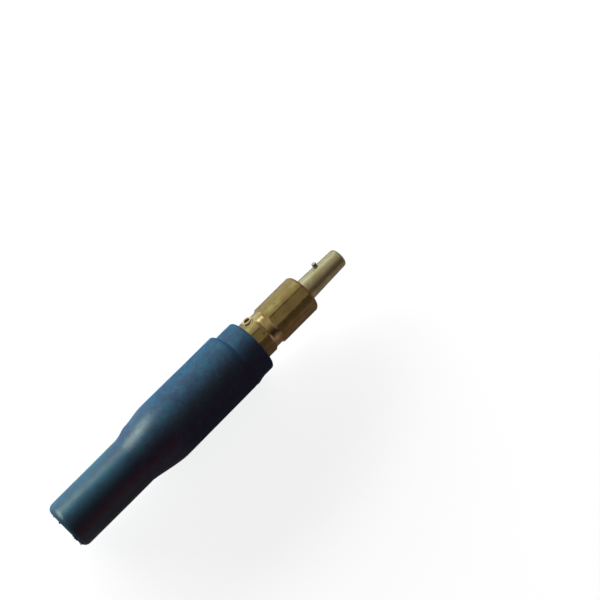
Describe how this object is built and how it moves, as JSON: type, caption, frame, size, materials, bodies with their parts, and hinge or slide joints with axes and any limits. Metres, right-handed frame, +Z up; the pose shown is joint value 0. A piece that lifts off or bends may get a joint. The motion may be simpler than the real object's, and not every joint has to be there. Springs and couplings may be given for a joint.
{
  "type": "welding cable plug",
  "caption": "Single-pole welding cable plug: hexagonal brass contact with a tapered pin and lock dowel, clamp screws and a sliding blue rubber sleeve.",
  "frame": {"origin": "on the surface that the plug lies on, below the middle of its length", "axes": "+X along the plug's axis towards the pin's tip, +Z up"},
  "size_m": [0.194, 0.0336, 0.0337],
  "materials": {
    "blue_rubber": "satin moulded rubber with faint mottling",
    "brass": "machined and handled brass, drawn flats and turned pin",
    "steel": "plain machined steel",
    "copper": "rolled copper strip"
  },
  "bodies": {
    "contact": {"contact_body": "brass", "lock_dowel": "steel"},
    "sleeve": {"insulating_sleeve": "blue_rubber"},
    "strip": {"pressure_strip": "copper"},
    "front_screw": {"clamp_screw_front": "steel"},
    "rear_screw": {"clamp_screw_rear": "steel"}
  },
  "joints": [
    {"name": "sleeve_slide", "type": "slide", "parent": "contact", "child": "sleeve", "axis": [1, 0, 0], "range_m": [-0.025, 0.0014]},
    {"name": "strip_travel", "type": "slide", "parent": "contact", "child": "strip", "axis": [0, 0.7181, 0.6959], "range_m": [-0.002, 0]},
    {"name": "front_screw_turn", "type": "hinge", "parent": "strip", "child": "front_screw", "pos_m": [0.03695, 0, 0.01683], "axis": [0, 0.7181, 0.6959], "range_deg": [-750, 30]},
    {"name": "rear_screw_turn", "type": "hinge", "parent": "strip", "child": "rear_screw", "pos_m": [0.02095, 0, 0.01683], "axis": [0, 0.7181, 0.6959], "range_deg": [-750, 30]}
  ],
  "couplings": [
    {"joint": "front_screw_turn", "follows": "strip_travel", "rad_per_m": 6283.2},
    {"joint": "rear_screw_turn", "follows": "strip_travel", "rad_per_m": 6283.2}
  ]
}
